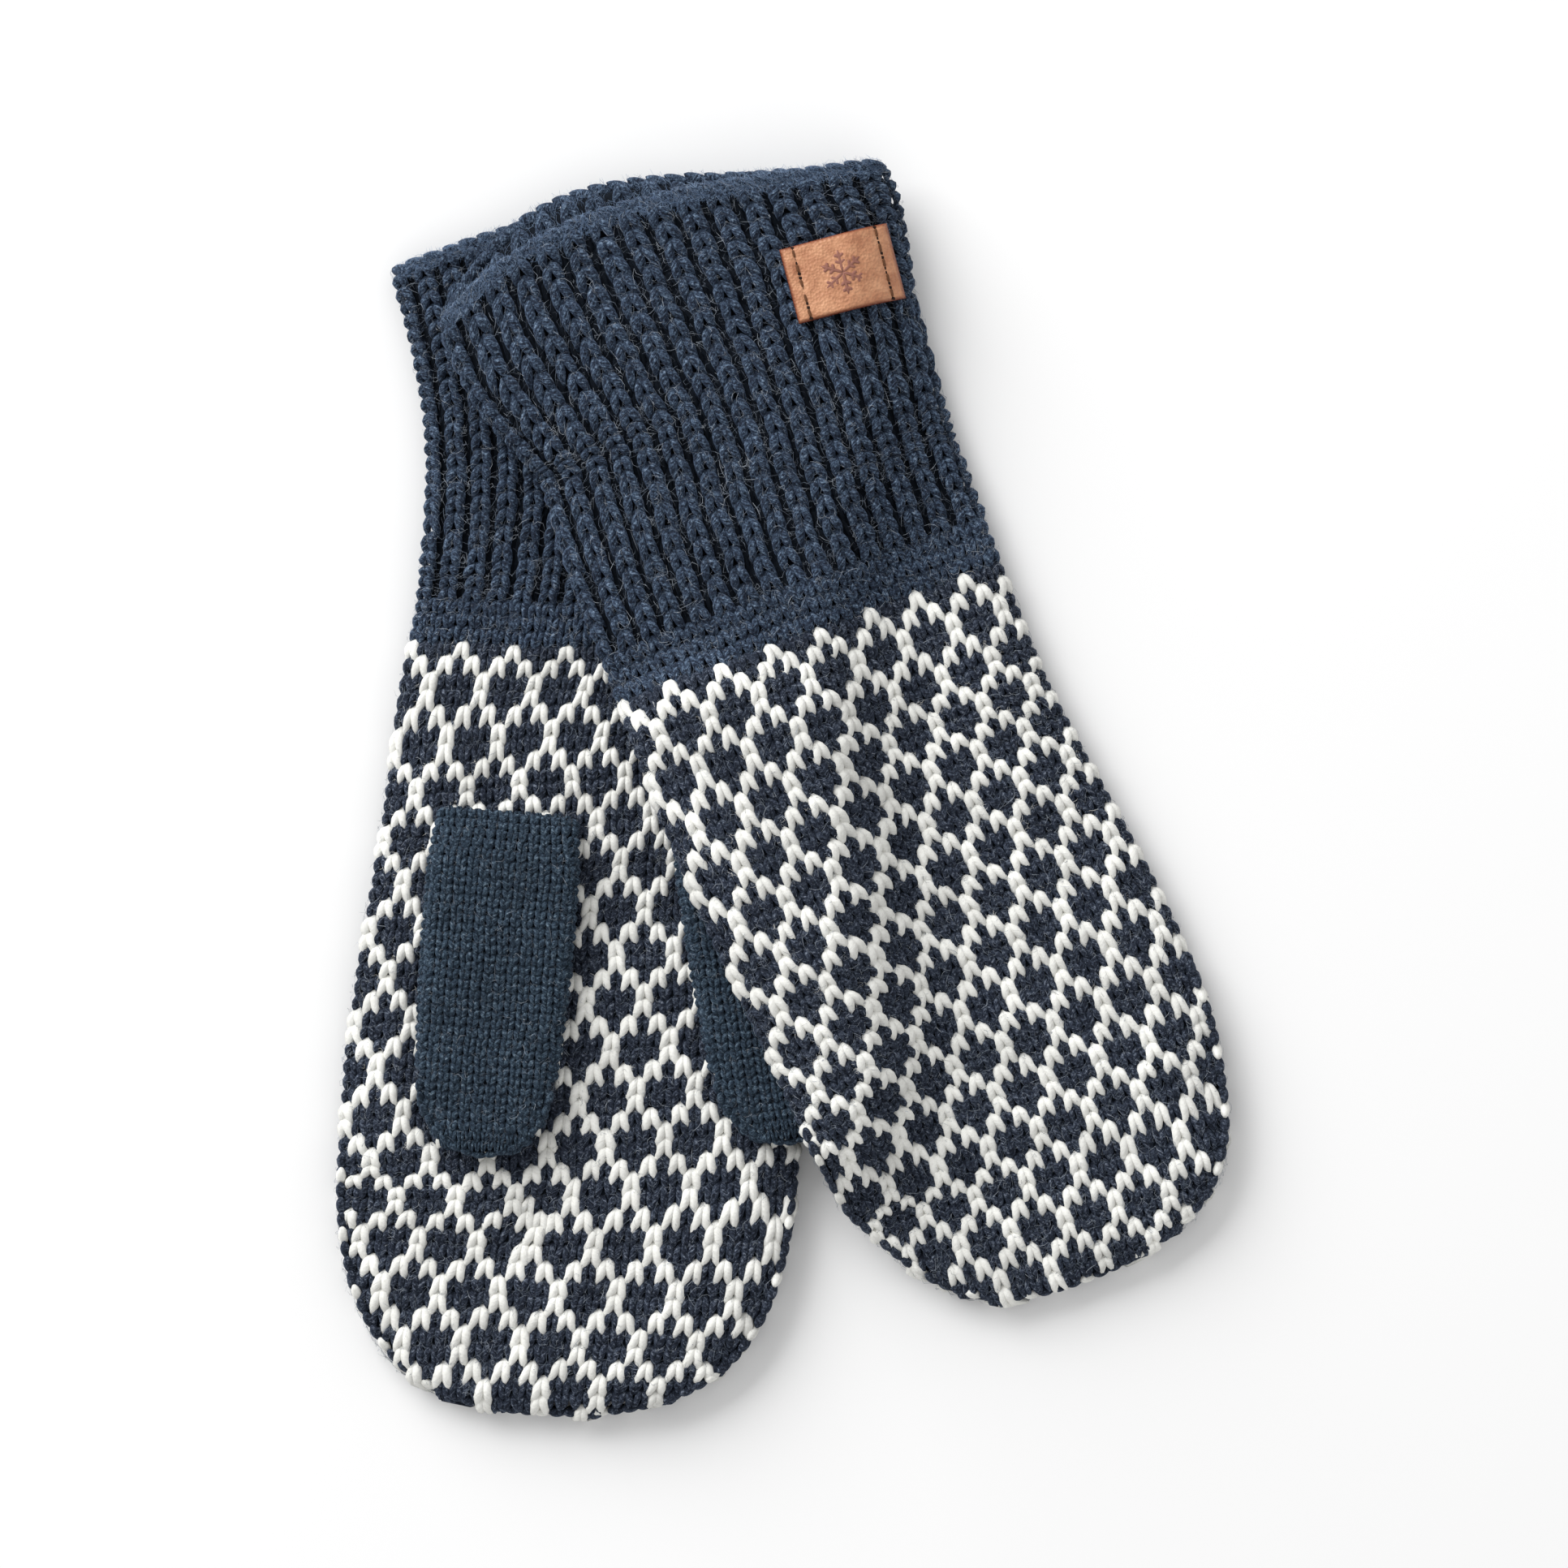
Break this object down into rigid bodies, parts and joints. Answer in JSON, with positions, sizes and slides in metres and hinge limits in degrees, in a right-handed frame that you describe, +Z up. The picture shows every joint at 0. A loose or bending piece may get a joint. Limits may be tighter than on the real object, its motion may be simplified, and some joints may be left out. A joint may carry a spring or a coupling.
{
  "type": "knitted mittens",
  "caption": "Pair of colourwork wool mittens lying crossed on a flat surface, with ribbed cuffs, separate thumbs and a sewn leather label.",
  "frame": {"origin": "on the surface the pair lies on, below the middle of the pair's outline", "axes": "+Z up from the surface, +Y from the finger tips towards the cuffs, +X to the right seen from above"},
  "size_m": [0.2075, 0.292, 0.0289],
  "materials": {
    "navy_wool": "heathered navy wool, fuzzy",
    "patterned_wool": "stranded colourwork in navy and off-white wool",
    "off_white_wool": "off-white wool, fuzzy",
    "label_leather": "tan pebbled leather",
    "label_thread": "brown waxed thread"
  },
  "bodies": {
    "lower_mitten": {"lower_cast_on_edge": "navy_wool", "lower_cuff": "navy_wool", "lower_hand": "patterned_wool"},
    "lower_thumb": {"lower_thumb": "navy_wool"},
    "upper_mitten": {"upper_hand": "patterned_wool"},
    "upper_thumb": {"upper_thumb": "navy_wool"},
    "upper_cuff": {"upper_cast_on_edge": "navy_wool", "upper_cuff": "navy_wool", "label_patch": "label_leather", "label_stitches_inner": "label_thread", "label_stitches_outer": "label_thread"}
  },
  "joints": [
    {"name": "lower_thumb_fold", "type": "hinge", "parent": "lower_mitten", "child": "lower_thumb", "pos_m": [-0.0634, -0.0065, 0.0102], "axis": [-0.9965, 0.0837, 0], "range_deg": [0, 70]},
    {"name": "upper_mitten_lift", "type": "slide", "parent": "lower_mitten", "child": "upper_mitten", "axis": [0, 0, 1], "range_m": [0, 0.15]},
    {"name": "upper_thumb_swing", "type": "hinge", "parent": "upper_mitten", "child": "upper_thumb", "pos_m": [-0.0095, -0.004, 0.014], "axis": [0, 0, -1], "range_deg": [0, 18]},
    {"name": "upper_cuff_fold", "type": "hinge", "parent": "upper_mitten", "child": "upper_cuff", "pos_m": [0.0059, 0.0353, 0.0262], "axis": [0.9367, 0.3502, 0], "range_deg": [0, 30]}
  ]
}
